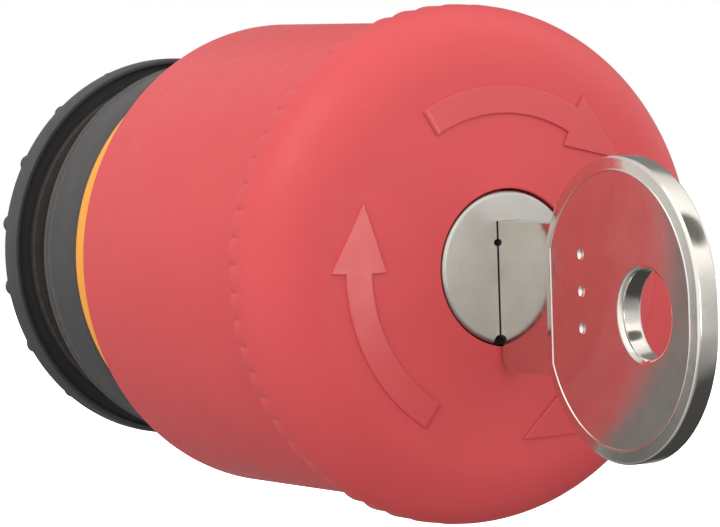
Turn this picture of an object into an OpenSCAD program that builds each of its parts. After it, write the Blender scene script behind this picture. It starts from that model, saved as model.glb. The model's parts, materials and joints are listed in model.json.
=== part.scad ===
// Key-release emergency stop actuator for a 22 mm panel hole.
// The pieces are drawn around their common axis, z pointing out of the panel and y up, with z = 0 on the
// plane where the seal meets the panel. place() then turns that axis, so the finished part faces -Y.

/* [Mushroom head] */
// Diameter of the mushroom head at its rim
head_d = 38; // [36:0.5:40]
// Height of the rim's widest circle above the panel
rim_h = 38.4; // [38:0.1:38.6]
// Radius that rounds the head's edge
edge_round = 5.5; // [5:0.1:5.8]
// Radius of the head's slightly domed face
crown_r = 80; // [75:5:300]
// Outer diameter of the red skirt behind the head
skirt_d = 35.4; // [34.6:0.1:35.8]
// Height of the skirt's rear edge above the panel, with the head out
skirt_rear_h = 12.3; // [12:0.1:14]
// How far the turning arrows stand out of the face
arrow_rise = 0.15; // [0.1:0.05:0.3]

/* [Bezel and collar] */
// Diameter of the black bezel at its front
bezel_d = 30.9; // [30.4:0.1:31]
// Diameter of the bezel and the seal at the panel
bezel_rear_d = 29.7; // [29.5:0.1:30.2]
// Height of the bezel's front face above the panel
bezel_h = 6.6; // [6.2:0.1:7]
// Thickness of the rubber panel seal
seal_t = 1.5; // [1:0.1:2]
// Outer diameter of the yellow collar
collar_d = 30.7; // [30.2:0.1:30.8]

/* [Panel neck] */
// Diameter of the neck that passes the panel hole
neck_d = 22; // [21.8:0.1:22.2]
// Depth of the neck behind the panel plane
neck_depth = 14; // [13.5:0.5:15]
// Free gap for the panel sheet, from the seal to the washer
panel_gap = 4.1; // [4.1:0.1:5]
// Pitch of the neck thread
thread_pitch = 1.5; // [1:0.25:2]
// Outer diameter of the ring nut's smooth front ring
nut_d = 30.2; // [29.6:0.1:30.6]
// Number of grip bumps on the ring nut
nut_bumps = 18; // [12:1:24]

/* [Push mechanism] */
// Travel of the head into the panel
push_travel = 5; // [3:0.5:5]
// Diameter of the carrier that slides in the neck
carrier_d = 17.84; // [17.82:0.01:17.9]
// Wire diameter of the return spring
return_wire_d = 1; // [0.8:0.1:1.1]
// Number of turns of the return spring
return_turns = 7; // [5:1:9]

/* [Lock and key] */
// Diameter of the lock plug's face
plug_face_d = 11.3; // [11:0.1:11.5]
// Diameter of the lock plug's barrel
plug_d = 9.86; // [9.82:0.01:9.96]
// Thickness of the key's bow
key_t = 2; // [1.8:0.1:2]
// Thickness of the key's blade
blade_t = 1.7; // [1.5:0.1:1.7]
// Diameter of the rounded ends of the key's bow
bow_d = 20; // [19:0.1:20.5]
// How much longer than wide the bow is, across the blade
bow_stretch = 1.5; // [0.5:0.1:2]
// Diameter of the hole in the key's bow
key_hole_d = 6.2; // [5:0.1:6.4]
// How far the latch pawls draw in when the key is turned
pawl_draw = 1.1; // [0.8:0.1:1.1]
// Angle through which the key turns to free the head
key_angle = 45; // [30:5:45]

/* [Hidden] */

$fn = 96;
// A cutter runs this far past the face it opens
past = 0.1;

// Head and skirt
head_r = head_d / 2;
face_edge_r = head_r - edge_round;
face_edge_h = rim_h + edge_round;
skirt_r = skirt_d / 2;
skirt_in_r = skirt_r - 1.95;
cap_rear_h = rim_h - 1.5;
cap_ceiling_h = face_edge_h - 2.3;
cap_hollow_r = 14.5;
cap_hollow_round = 3.6;
ledge_h = 32;
ledge_t = 2;
ledge_in_r = 9.5;
arrow_mid_r = 12.1;
arrow_w = 2;
arrow_head_w = 4.2;
arrow_tip_r = 12.6;
arrow_start = 119;
arrow_body_sweep = 60;
arrow_head_sweep = 23;

// Bezel, collar and seal
bezel_r = bezel_d / 2;
bezel_rear_r = bezel_rear_d / 2;
flange_r = 14.2;
flange_h = 4.5;
collar_r = collar_d / 2;
collar_in_r = 14;
collar_h = 24;

// Neck
neck_r = neck_d / 2;
barrel_h = 24;
guide_bore_r = 9;
seal_bore_r = 10.2;
seal_bore_h = 21;
web_front_h = -6;
web_rear_h = -12;
stem_bore_r = 6.5;
rear_bore_r = 9.3;
latch_groove_r = 10;
latch_groove_h = 6.5;
latch_groove_t = 4.3;
thread_depth = 0.6;
thread_start = 0.2 - panel_gap;
orient_groove_w = 2.2;
orient_groove_depth = 0.7;

// Washer and ring nut
washer_r = 13.6;
washer_t = 0.8;
washer_front = -panel_gap;
washer_rear = washer_front - washer_t;
nut_r = nut_d / 2;
nut_front = washer_front - 0.2;
nut_step = nut_front - 1.9;
nut_recess_r = nut_r - 0.4;
nut_recess_h = washer_rear - 0.05;
nut_rear = -9;
nut_hub_r = 13.4;
nut_bore_r = neck_r + 0.08;
bump_r = 0.6;
bump_circle_r = nut_r - 0.65;
bump_rear_h = nut_step - 0.9;

// Carrier
carrier_r = carrier_d / 2;
carrier_flange_h = 29.5;
carrier_rear_h = -0.8;
carrier_top_h = 36;
carrier_top_r = 9.4;
stem_r = 6.42;
stem_rear_h = -17.5;
clip_h = -12.9;
clip_t = 0.8;
clip_groove_r = 5.9;
clip_r = 8.3;
lock_seat_h = 20;
lock_seat_r = 7.6;
chamber_r = 6.9;
chamber_h = 16;
pawl_slot_h = 11.6;
pawl_w = 5;
plunger_r = 2;
plunger_face_r = 4;
plunger_end_h = -20;
screw_circle_r = 12.3;
screw_count = 3;
screw_r = 1.2;
screw_head_r = 2.1;

// Lock
lock_r = 7.5;
lock_bore_r = 5;
lock_front_h = 41.5;
lock_flange_r = 9.5;
plug_face_h = 44.9;
plug_head_h = 41.6;
plug_rear_h = 18.75;
plug_face_r = plug_face_d / 2;
plug_hole_r = plug_face_r + 0.15;
plug_r = plug_d / 2;
plug_bevel = 0.35;
slot_w = blade_t + 0.2;
slot_half_h = 3.4;
slot_deep_h = 22;
slot_head_h = 42.9;
wafer_t = 0.8;
wafer_w = 5.9;
wafer_r = plug_r - 0.08;
wafer_heights = [for (i = [0:4]) 26 + 3 * i];
spring_pocket_x = 3.62;
spring_pocket_low = -2.35;
wafer_ear_y = 1.5;
leaf_w = 0.7;
leaf_t = 0.2;
leaf_folds = 6;
tang_w = 4;
cam_r = 6.6;
cam_h = 16.2;
cam_t = 2.5;
cam_web_h = cam_h + 0.6;
cam_screw_r = 0.75;
cam_screw_head_r = 1.8;
cam_screw_l = 5;
pin_r = 0.65;
pin_path_r = 5;
cam_slot_r = pin_r + 0.1;

// Key
blade_half_h = 3.3;
blade_tip_h = 23.5;
blade_top_y = 3.4;
blade_bottom_y = -7.4;
shoulder_h = plug_face_h + 0.2;
shoulder_bottom_y = -5;
shoulder_round = 1.3;
relief_r = 0.45;
bow_r = bow_d / 2;
bow_y = -2.4;
bow_h = plug_face_h + 15.4;
bow_flat_h = plug_face_h + 6.05;
bow_bevel_w = 1;
bow_bevel_t = 0.4;
key_hole_y = -2.55;
key_hole_h = plug_face_h + 18.95;
key_hole_bevel = 0.35;
mark_r = 0.45;
mark_depth = 0.15;
mark_pitch = 2.6;
mark_y = -1.2;
mark_h = bow_flat_h + 5;

// Pawls
pawl_in = 2.4;
pawl_out_r = 8.85;
pawl_h = 11.8;
pawl_t = 4.1;
pin_t = 2.5;

// ---------------------------------------------------------------- helpers

// Turns the drawing axis so that the part faces -Y with +Z up
module place() {
    rotate([90, 0, 0]) children();
}

// A round tube between two heights
module tube(r_out, r_in, low, high) {
    translate([0, 0, low]) difference() {
        cylinder(r = r_out, h = high - low);
        translate([0, 0, -past]) cylinder(r = r_in, h = high - low + 2 * past);
    }
}

// A round disc between two heights
module disc(r, low, high) {
    translate([0, 0, low]) cylinder(r = r, h = high - low);
}

// A rectangle given by its two corners
module panel(low, high) {
    translate(low) square(high - low);
}

// A block given by its two corners
module block(low, high) {
    translate(low) cube(high - low);
}

// Points of the wire's section at one angle of the coil
function coil_ring(r, wire_r, angle, height, sides) = [
    for (k = [0:sides - 1])
        let (a = 360 * k / sides, out = r + wire_r * cos(a))
            [out * cos(angle), out * sin(angle), height + wire_r * sin(a)]
];

// Height of the wire after t turns: the first and last turns lie close together, and the rest are open
function coil_height(t, turns, length, wire_r) =
    let (closed = 2.4 * wire_r / (length - 2 * wire_r), u = t / turns, dead = 1 / turns)
        wire_r + (length - 2 * wire_r) * (
            u < dead ? closed * u / dead :
            u > 1 - dead ? 1 - closed * (1 - u) / dead :
            closed + (1 - 2 * closed) * (u - dead) / (1 - 2 * dead)
        );

// A coil spring that stands on z = 0
module coil_spring(r, wire_r, turns, length, steps, sides) {
    n = turns * steps;
    points = [
        for (i = [0:n])
            each coil_ring(r, wire_r, 360 * i / steps, coil_height(i / steps, turns, length, wire_r), sides)
    ];
    walls = [
        for (i = [0:n - 1])
            for (k = [0:sides - 1])
                let (a = i * sides + k, b = i * sides + (k + 1) % sides)
                    [a, a + sides, b + sides, b]
    ];
    first = [for (k = [0:sides - 1]) k];
    last = [for (k = [sides - 1:-1:0]) n * sides + k];
    polyhedron(points = points, faces = concat([first], walls, [last]));
}

// ---------------------------------------------------------------- moving head

// One curved arrow, a band that follows a circle and ends in a point
module turning_arrow() {
    low_r = arrow_mid_r - arrow_w / 2;
    high_r = arrow_mid_r + arrow_w / 2;
    neck_a = arrow_start - arrow_body_sweep;
    tip_a = neck_a - arrow_head_sweep;
    steps = 16;
    band = [for (i = [0:steps]) arrow_start - arrow_body_sweep * i / steps];
    outer = [for (a = band) high_r * [cos(a), sin(a)]];
    inner = [for (i = [steps:-1:0]) low_r * [cos(band[i]), sin(band[i])]];
    point = [
        (arrow_mid_r + arrow_head_w / 2) * [cos(neck_a), sin(neck_a)],
        arrow_tip_r * [cos(tip_a), sin(tip_a)],
        (arrow_mid_r - arrow_head_w / 2) * [cos(neck_a), sin(neck_a)]
    ];
    polygon(concat(outer, point, inner));
}

// Outline of the cap in front of its rim: a domed face that runs smoothly into the round edge
module cap_outline() {
    centre_gap = crown_r - edge_round;
    join_a = asin(face_edge_r / centre_gap);
    join_r = face_edge_r + edge_round * sin(join_a);
    intersection() {
        translate([0, rim_h - centre_gap * cos(join_a)]) circle(r = crown_r, $fn = 720);
        panel([0, rim_h], [join_r, face_edge_h + 2]);
    }
    intersection() {
        translate([face_edge_r, rim_h]) circle(r = edge_round);
        panel([join_r, rim_h], [head_r, face_edge_h]);
    }
}

// Section of the cap, with a short slope behind the rim that leads back to the skirt
module cap_section() {
    difference() {
        union() {
            cap_outline();
            polygon([[0, cap_rear_h], [skirt_r + 0.05, cap_rear_h], [head_r, rim_h], [0, rim_h]]);
            panel([cap_hollow_r, ledge_h + ledge_t + 0.2], [skirt_in_r - 0.1, rim_h]);
        }
        panel([0, 0], [plug_hole_r, 60]);
        panel([0, 0], [cap_hollow_r, cap_ceiling_h - cap_hollow_round]);
        panel([0, 0], [cap_hollow_r - cap_hollow_round, cap_ceiling_h]);
        translate([cap_hollow_r - cap_hollow_round, cap_ceiling_h - cap_hollow_round])
            circle(r = cap_hollow_round);
    }
}

module mushroom_cap() {
    color("crimson") place() {
        rotate_extrude() cap_section();
        intersection() {
            translate([0, 0, arrow_rise]) rotate_extrude() cap_outline();
            for (i = [0:2])
                rotate([0, 0, -120 * i])
                    translate([0, 0, face_edge_h - 1.5]) linear_extrude(3) turning_arrow();
        }
        tube(lock_flange_r, lock_r + 0.1, cap_ceiling_h - 3.6, cap_ceiling_h);
    }
}

module at_screws() {
    for (i = [0:screw_count - 1])
        rotate([0, 0, 90 + 360 / screw_count * i]) translate([screw_circle_r, 0, 0]) children();
}

module skirt_sleeve() {
    lip = 0.2;
    color("crimson") place() difference() {
        rotate_extrude() union() {
            panel([skirt_in_r, skirt_rear_h + lip], [skirt_r, cap_rear_h]);
            panel([skirt_in_r, skirt_rear_h], [skirt_r - lip, skirt_rear_h + lip]);
            translate([skirt_r - lip, skirt_rear_h + lip]) circle(r = lip);
            panel([ledge_in_r, ledge_h], [skirt_in_r, ledge_h + ledge_t]);
        }
        at_screws() disc(screw_r + 0.1, ledge_h - past, ledge_h + ledge_t + past);
    }
}

module head_carrier() {
    slot_w_y = pawl_w + 0.2;
    color("dimgray") place() difference() {
        union() {
            disc(carrier_r, carrier_rear_h, carrier_flange_h);
            disc(skirt_in_r - 0.25, carrier_flange_h, ledge_h);
            disc(carrier_top_r, ledge_h, carrier_top_h);
            disc(stem_r, stem_rear_h, carrier_rear_h);
        }
        disc(lock_seat_r, lock_seat_h, carrier_top_h + past);
        disc(chamber_r, chamber_h, lock_seat_h + past);
        block([-carrier_r - 1, -slot_w_y / 2, pawl_slot_h], [carrier_r + 1, slot_w_y / 2, chamber_h + past]);
        disc(plunger_r + 0.05, stem_rear_h - past, stem_rear_h + 9.5);
        tube(stem_r + 1, clip_groove_r, clip_h - 0.1, clip_h + clip_t + 0.1);
        at_screws() disc(screw_r + 0.05, carrier_flange_h + 0.2, ledge_h + past);
    }
}

// Pan-head screws that hold the skirt's ledge to the carrier
module carrier_screws() {
    color("silver") place() at_screws() difference() {
        union() {
            disc(screw_r, carrier_flange_h + 0.3, ledge_h + ledge_t);
            disc(screw_head_r, ledge_h + ledge_t, ledge_h + ledge_t + 1.5);
        }
        for (a = [0, 90])
            rotate([0, 0, a])
                block([-1.3, -0.3, ledge_h + ledge_t + 0.8], [1.3, 0.3, ledge_h + ledge_t + 2]);
    }
}

// Open retaining ring on the stem, which stops the head against the neck's web
module stem_circlip() {
    color("gainsboro") place() difference() {
        tube(clip_r, clip_groove_r + 0.02, clip_h, clip_h + clip_t);
        block([-2.6, -clip_r - 1, clip_h - past], [2.6, 0, clip_h + clip_t + past]);
    }
}

// Peg in the stem whose face presses the contact block
module contact_plunger() {
    color("whitesmoke") place() union() {
        disc(plunger_r, stem_rear_h - past, stem_rear_h + 9.3);
        disc(plunger_face_r, plunger_end_h, stem_rear_h - 0.05);
    }
}

// ---------------------------------------------------------------- lock

module lock_body() {
    channel_w = wafer_w + 0.3;
    color("darkgray") place() difference() {
        union() {
            disc(lock_r, lock_seat_h, lock_front_h);
            disc(lock_flange_r, carrier_top_h, carrier_top_h + 2);
        }
        disc(lock_bore_r, lock_seat_h - past, lock_front_h + past);
        block([-channel_w / 2, -6.3, wafer_heights[0] - 1], [channel_w / 2, 6.3, wafer_heights[4] + 1]);
    }
}

// Friction washer between the lock body and the cam
module lock_washer() {
    color("goldenrod") place() tube(cam_r, plug_r + 0.17, cam_h + cam_t + 0.1, lock_seat_h - 0.1);
}

module lock_plug() {
    slot_bottom_y = -plug_face_r - 1;
    color("silver") place() difference() {
        union() {
            disc(plug_face_r, plug_head_h, plug_face_h - plug_bevel);
            translate([0, 0, plug_face_h - plug_bevel])
                cylinder(r1 = plug_face_r, r2 = plug_face_r - plug_bevel, h = plug_bevel);
            disc(plug_r, plug_rear_h, plug_head_h);
            block([-tang_w / 2, -tang_w / 2, cam_web_h + 0.05], [tang_w / 2, tang_w / 2, plug_rear_h]);
        }
        block([-slot_w / 2, -slot_half_h, slot_deep_h], [slot_w / 2, slot_half_h, plug_face_h + past]);
        block([-slot_w / 2, slot_bottom_y, slot_head_h], [slot_w / 2, slot_half_h + 0.1, plug_face_h + past]);
        for (h = wafer_heights) {
            block([-wafer_w / 2 - 0.08, -plug_r, h - 0.45], [wafer_w / 2 + 0.08, plug_r, h + 0.45]);
            block([0, spring_pocket_low, h - 0.45], [spring_pocket_x + 0.6, wafer_ear_y + 0.85, h + 0.45]);
        }
        disc(cam_screw_r + 0.05, cam_h - past, cam_h + cam_screw_l + 0.2);
    }
}

// Flat tumblers, each with a window for the blade and an ear for its spring
module lock_wafers() {
    color("khaki") place() for (h = wafer_heights) difference() {
        intersection() {
            disc(wafer_r, h - wafer_t / 2, h + wafer_t / 2);
            union() {
                block([-wafer_w / 2, -wafer_r, h - wafer_t], [wafer_w / 2, wafer_r, h + wafer_t]);
                block([0, wafer_ear_y, h - wafer_t],
                      [spring_pocket_x + 0.5, wafer_ear_y + 0.75, h + wafer_t]);
            }
        }
        block([-slot_w / 2 - 0.05, -slot_half_h - 0.05, h - 1],
              [slot_w / 2 + 0.05, slot_half_h + 0.05, h + 1]);
    }
}

// Folded leaf springs, one under each wafer's ear
module wafer_springs() {
    low = spring_pocket_low + 0.03;
    length = wafer_ear_y - 0.03 - low;
    zigzag = [for (i = [0:leaf_folds]) [(i % 2 - 0.5) * leaf_w, length * i / leaf_folds]];
    outline = concat(
        [for (p = zigzag) p + [leaf_t / 2, 0]],
        [for (i = [leaf_folds:-1:0]) zigzag[i] - [leaf_t / 2, 0]]
    );
    color("lightsteelblue") place() for (h = wafer_heights)
        translate([spring_pocket_x, low, h - wafer_t / 2]) linear_extrude(wafer_t) polygon(outline);
}

// Centre line of a cam slot: its radius falls evenly with the angle, so the pawls follow it at a fixed ratio
function cam_slot_point(a, side) =
    let (r = pin_path_r - pawl_draw * a / key_angle + side * cam_slot_r) r * [cos(a), sin(a)];

module cam_slot() {
    steps = 12;
    angles = [for (i = [0:steps]) key_angle * i / steps];
    outer = [for (a = angles) cam_slot_point(a, 1)];
    inner = [for (i = [steps:-1:0]) cam_slot_point(angles[i], -1)];
    polygon(concat(outer, inner));
    for (a = [0, key_angle])
        translate(cam_slot_point(a, 0)) circle(r = cam_slot_r, $fn = 32);
}

module lock_cam() {
    hole_w = tang_w + 0.1;
    color("darkkhaki") place() difference() {
        disc(cam_r, cam_h, cam_h + cam_t);
        translate([0, 0, cam_h - past]) linear_extrude(cam_t + 2 * past)
            for (a = [0, 180]) rotate([0, 0, a]) cam_slot();
        block([-hole_w / 2, -hole_w / 2, cam_web_h], [hole_w / 2, hole_w / 2, cam_h + cam_t + past]);
        disc(cam_screw_head_r + 0.1, cam_h - past, cam_web_h + past);
    }
}

// Short screw that holds the cam on the plug's tang
module cam_screw() {
    color("silver") place() difference() {
        union() {
            disc(cam_screw_head_r, cam_h + 0.02, cam_web_h);
            disc(cam_screw_r, cam_h + 0.5, cam_h + cam_screw_l);
        }
        block([-2, -0.25, cam_h - past], [2, 0.25, cam_h + 0.3]);
    }
}

// ---------------------------------------------------------------- key

// A disc across the key's thickness with bevelled edges
module bevelled_disc(r) {
    full = key_t / 2;
    flat = full - bow_bevel_t;
    rotate([0, 90, 0]) union() {
        translate([0, 0, -full]) cylinder(r1 = r - bow_bevel_w, r2 = r, h = bow_bevel_t);
        translate([0, 0, -flat]) cylinder(r = r, h = 2 * flat);
        translate([0, 0, flat]) cylinder(r1 = r, r2 = r - bow_bevel_w, h = bow_bevel_t);
    }
}

// A bar across the key's thickness with the same bevels, which joins the bow's two round ends
module bevelled_bar(r, length) {
    full = key_t / 2;
    flat = full - bow_bevel_t;
    face = r - bow_bevel_w;
    translate([0, length / 2, 0]) rotate([90, 0, 0]) linear_extrude(length) polygon([
        [-full, -face], [-flat, -r], [flat, -r], [full, -face],
        [full, face], [flat, r], [-flat, r], [-full, face]
    ]);
}

// The bow is flat and bevelled where it faces the lock
module key_bow() {
    flat_half = key_t / 2 - bow_bevel_t;
    reach = key_t;
    rise = (reach - flat_half) * bow_bevel_w / bow_bevel_t;
    difference() {
        translate([0, bow_y, bow_h]) union() {
            for (side = [-1, 1])
                translate([0, side * bow_stretch / 2, 0]) bevelled_disc(bow_r);
            bevelled_bar(bow_r, bow_stretch);
        }
        translate([0, 20, 0]) rotate([90, 0, 0]) linear_extrude(40) polygon([
            [-reach, 0], [reach, 0], [reach, bow_flat_h + rise],
            [flat_half, bow_flat_h], [-flat_half, bow_flat_h], [-reach, bow_flat_h + rise]
        ]);
    }
}

// Outline of the blade, y across and z along the axis: a wide root with a round shoulder and a narrow
// pointed tip, with a small relief where the shoulder meets the plug's rim
module key_blade() {
    half = blade_t / 2;
    root_h = bow_flat_h + bow_bevel_w + past;
    round_y = blade_bottom_y + shoulder_round;
    round_h = shoulder_h + shoulder_round;
    difference() {
        union() {
            block([-half, blade_bottom_y, round_h], [half, blade_top_y, root_h]);
            block([-half, round_y, shoulder_h], [half, blade_top_y, round_h]);
            translate([-half, round_y, round_h]) rotate([0, 90, 0]) cylinder(r = shoulder_round, h = blade_t);
            block([-half, shoulder_bottom_y, 43], [half, blade_top_y, shoulder_h]);
            block([-half, -blade_half_h, blade_tip_h + 2], [half, blade_half_h, 43]);
            translate([-half, 0, 0]) rotate([90, 0, 90]) linear_extrude(blade_t) polygon([
                [-blade_half_h, blade_tip_h + 2], [-1, blade_tip_h],
                [1, blade_tip_h], [blade_half_h, blade_tip_h + 2]
            ]);
        }
        translate([-key_t, shoulder_bottom_y - 0.3, shoulder_h]) rotate([0, 90, 0])
            cylinder(r = relief_r, h = 2 * key_t);
    }
}

// Notch in the blade's edge under one wafer; the depths differ from wafer to wafer
module key_cut(index, side) {
    depth = 0.5 + 0.3 * ((index * 2 + (side > 0 ? 1 : 0)) % 3);
    flat = 0.6;
    run = flat + depth;
    translate([-key_t, 0, wafer_heights[index]]) rotate([90, 0, 90]) linear_extrude(2 * key_t) polygon([
        [side * (blade_half_h + 0.01), -run], [side * (blade_half_h - depth), -flat],
        [side * (blade_half_h - depth), flat], [side * (blade_half_h + 0.01), run],
        [side * (blade_half_h + 1), run], [side * (blade_half_h + 1), -run]
    ]);
}

module key() {
    hole_r = key_hole_d / 2;
    color("gainsboro") place() difference() {
        union() {
            key_bow();
            key_blade();
        }
        translate([-key_t, key_hole_y, key_hole_h]) rotate([0, 90, 0]) cylinder(r = hole_r, h = 2 * key_t);
        for (side = [-1, 1])
            translate([side * key_t / 2, key_hole_y, key_hole_h]) rotate([0, 90 * side, 0])
                translate([0, 0, -key_hole_bevel])
                    cylinder(r1 = hole_r, r2 = hole_r + 2 * key_hole_bevel, h = 2 * key_hole_bevel);
        for (i = [0:len(wafer_heights) - 1])
            for (side = [-1, 1])
                key_cut(i, side);
        for (i = [-1:1])
            translate([-key_t / 2 - mark_depth, mark_y + mark_pitch * i, mark_h]) rotate([0, 90, 0])
                cylinder(r = mark_r, h = 2 * mark_depth);
    }
}

// ---------------------------------------------------------------- latch

module latch_pawl() {
    union() {
        intersection() {
            disc(pawl_out_r, pawl_h, pawl_h + pawl_t);
            block([pawl_in, -pawl_w / 2, pawl_h], [pawl_out_r, pawl_w / 2, pawl_h + pawl_t]);
        }
        translate([pin_path_r, 0, 0]) disc(pin_r, pawl_h + pawl_t, pawl_h + pawl_t + pin_t);
    }
}

module latch_pawl_right() {
    color("steelblue") place() latch_pawl();
}

module latch_pawl_left() {
    color("steelblue") place() rotate([0, 0, 180]) latch_pawl();
}

// One spring that pushes both pawls outwards
module latch_spring() {
    color("lightsteelblue") place()
        translate([-pawl_in + 0.02, 0, pawl_h + pawl_t / 2]) rotate([0, 90, 0])
            coil_spring(1.25, 0.22, 5, 2 * pawl_in - 0.04, 14, 6);
}

// ---------------------------------------------------------------- fixed housing

// Section of one thread groove, a V with a flat root
module thread_groove(h) {
    half = thread_pitch * 0.36;
    polygon([
        [neck_r + past, h - half], [neck_r + past, h + half],
        [neck_r, h + half], [neck_r - thread_depth, h + 0.15],
        [neck_r - thread_depth, h - 0.15], [neck_r, h - half]
    ]);
}

module threaded_neck() {
    grooves = floor((neck_depth - panel_gap - 1) / thread_pitch);
    color("darkslategray") place() difference() {
        union() {
            disc(neck_r, -neck_depth, barrel_h);
            disc(neck_r + 0.3, 0, seal_t);
            disc(flange_r, seal_t, flange_h);
        }
        disc(guide_bore_r, web_front_h, barrel_h + past);
        disc(seal_bore_r, seal_bore_h, barrel_h + past);
        disc(latch_groove_r, latch_groove_h, latch_groove_h + latch_groove_t);
        disc(stem_bore_r, web_rear_h - past, web_front_h + past);
        disc(rear_bore_r, -neck_depth - past, web_rear_h);
        rotate_extrude() for (i = [0:grooves - 1])
            thread_groove(thread_start - thread_pitch * (i + 0.5));
        block([-orient_groove_w / 2, neck_r - orient_groove_depth, -neck_depth - past],
              [orient_groove_w / 2, neck_r + 1, 0]);
    }
}

module bezel_ring() {
    round = 0.25;
    color("dimgray") place() rotate_extrude() difference() {
        polygon([
            [flange_r + 0.05, seal_t], [bezel_rear_r, seal_t], [bezel_r, bezel_h - round],
            [bezel_r - round, bezel_h], [collar_in_r - 0.1, bezel_h], [collar_in_r - 0.1, flange_h + 0.02],
            [flange_r + 0.05, flange_h + 0.02]
        ]);
    }
}

module yellow_collar() {
    color("gold") place() union() {
        tube(collar_r, collar_in_r - 0.2, bezel_h + 0.01, collar_h);
        tube(collar_in_r - 0.15, 13, flange_h + 0.01, bezel_h + 0.5);
    }
}

module panel_seal() {
    color("darkslategray") place() tube(bezel_rear_r, neck_r + 0.35, 0, seal_t);
}

// Steel ring under the return spring
module spring_seat() {
    color("silver") place() tube(12.9, neck_r + 0.15, flange_h, flange_h + 0.5);
}

module return_spring() {
    low = flange_h + 0.52;
    color("lightsteelblue") place() translate([0, 0, low])
        coil_spring(12.1, return_wire_d / 2, return_turns, carrier_flange_h - 0.02 - low, 20, 8);
}

// Rubber lip that rubs on the carrier
module shaft_seal() {
    color("black") place() rotate_extrude() polygon([
        [carrier_r + 0.05, seal_bore_h + 0.8], [carrier_r + 0.6, seal_bore_h + 0.02],
        [seal_bore_r - 0.02, seal_bore_h + 0.02], [seal_bore_r - 0.02, seal_bore_h + 2],
        [carrier_r + 0.6, seal_bore_h + 2], [carrier_r + 0.05, seal_bore_h + 1.2]
    ]);
}

module seal_retainer() {
    color("silver") place() tube(seal_bore_r - 0.02, carrier_r + 0.35, seal_bore_h + 2.02, barrel_h);
}

// ---------------------------------------------------------------- behind the panel

// Washer that the nut pushes against the panel; it moves with the nut and doesn't turn
module thrust_washer() {
    edge = 0.15;
    color("gray") place() rotate_extrude() polygon([
        [neck_r + 0.08, washer_rear], [washer_r, washer_rear], [washer_r, washer_front - edge],
        [washer_r - edge, washer_front], [neck_r + 0.08, washer_front]
    ]);
}

// Ring nut: a smooth front ring with a recess for the washer, grip bumps behind it and a hub
module ring_nut() {
    edge = 0.12;
    color("dimgray") place() difference() {
        union() {
            translate([0, 0, bump_rear_h]) linear_extrude(nut_step - bump_rear_h + edge) {
                circle(r = bump_circle_r);
                for (i = [0:nut_bumps - 1])
                    rotate(360 / nut_bumps * (i + 0.5))
                        translate([bump_circle_r, 0]) circle(r = bump_r, $fn = 32);
            }
            rotate_extrude() polygon([
                [0, nut_rear], [nut_hub_r, nut_rear], [nut_hub_r, nut_step], [nut_r - edge, nut_step],
                [nut_r, nut_step + edge], [nut_r, nut_front - edge], [nut_r - edge, nut_front], [0, nut_front]
            ]);
        }
        disc(nut_bore_r, nut_rear - past, nut_front + past);
        disc(nut_recess_r, nut_recess_h, nut_front + past);
    }
}

mushroom_cap();
skirt_sleeve();
head_carrier();
carrier_screws();
stem_circlip();
contact_plunger();
lock_body();
lock_washer();
lock_plug();
lock_wafers();
wafer_springs();
lock_cam();
cam_screw();
key();
latch_pawl_left();
latch_pawl_right();
latch_spring();
threaded_neck();
bezel_ring();
yellow_collar();
panel_seal();
spring_seat();
return_spring();
shaft_seal();
seal_retainer();
thrust_washer();
ring_nut();
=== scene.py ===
"""Looks of a key-release emergency stop button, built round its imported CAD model.

Shapes are written in millimetres in the drawing frame: x to the right, y up and z out of the panel along the
push axis, with z = 0 where the seal meets the panel. world() turns them into the row frame, in metres.
"""

import json
import math

import bmesh
import bpy
from mathutils import Matrix, Vector

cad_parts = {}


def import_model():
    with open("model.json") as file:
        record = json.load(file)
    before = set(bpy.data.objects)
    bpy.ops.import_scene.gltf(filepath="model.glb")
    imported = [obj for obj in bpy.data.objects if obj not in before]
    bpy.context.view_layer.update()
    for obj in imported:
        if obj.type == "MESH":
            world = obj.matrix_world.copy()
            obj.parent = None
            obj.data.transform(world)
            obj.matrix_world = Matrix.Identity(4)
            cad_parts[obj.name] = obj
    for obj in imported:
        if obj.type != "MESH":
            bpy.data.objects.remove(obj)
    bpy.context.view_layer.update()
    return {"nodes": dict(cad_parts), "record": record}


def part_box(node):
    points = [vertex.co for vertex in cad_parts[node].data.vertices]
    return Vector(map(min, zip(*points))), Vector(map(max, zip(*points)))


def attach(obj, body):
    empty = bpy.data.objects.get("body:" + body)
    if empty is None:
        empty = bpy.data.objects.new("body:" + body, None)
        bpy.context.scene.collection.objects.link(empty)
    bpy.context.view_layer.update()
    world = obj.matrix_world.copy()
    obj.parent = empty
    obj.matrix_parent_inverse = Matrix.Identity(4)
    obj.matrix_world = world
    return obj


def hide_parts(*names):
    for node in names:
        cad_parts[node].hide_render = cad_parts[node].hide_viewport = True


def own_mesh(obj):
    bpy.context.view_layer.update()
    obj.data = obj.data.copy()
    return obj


MM = 0.001
TURN_STEPS = 240

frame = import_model()
nodes = frame["nodes"]


# ---------------------------------------------------------------- sizes, from the frame where it has them

def outer_radius(node):
    """Largest radius of a turned node, in mm."""
    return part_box(node)[1].x / MM


def front(node):
    """Height of a node's front above the panel, in mm."""
    return -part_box(node)[0].y / MM


def rear(node):
    """Height of a node's rear above the panel, in mm."""
    return -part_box(node)[1].y / MM


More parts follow.
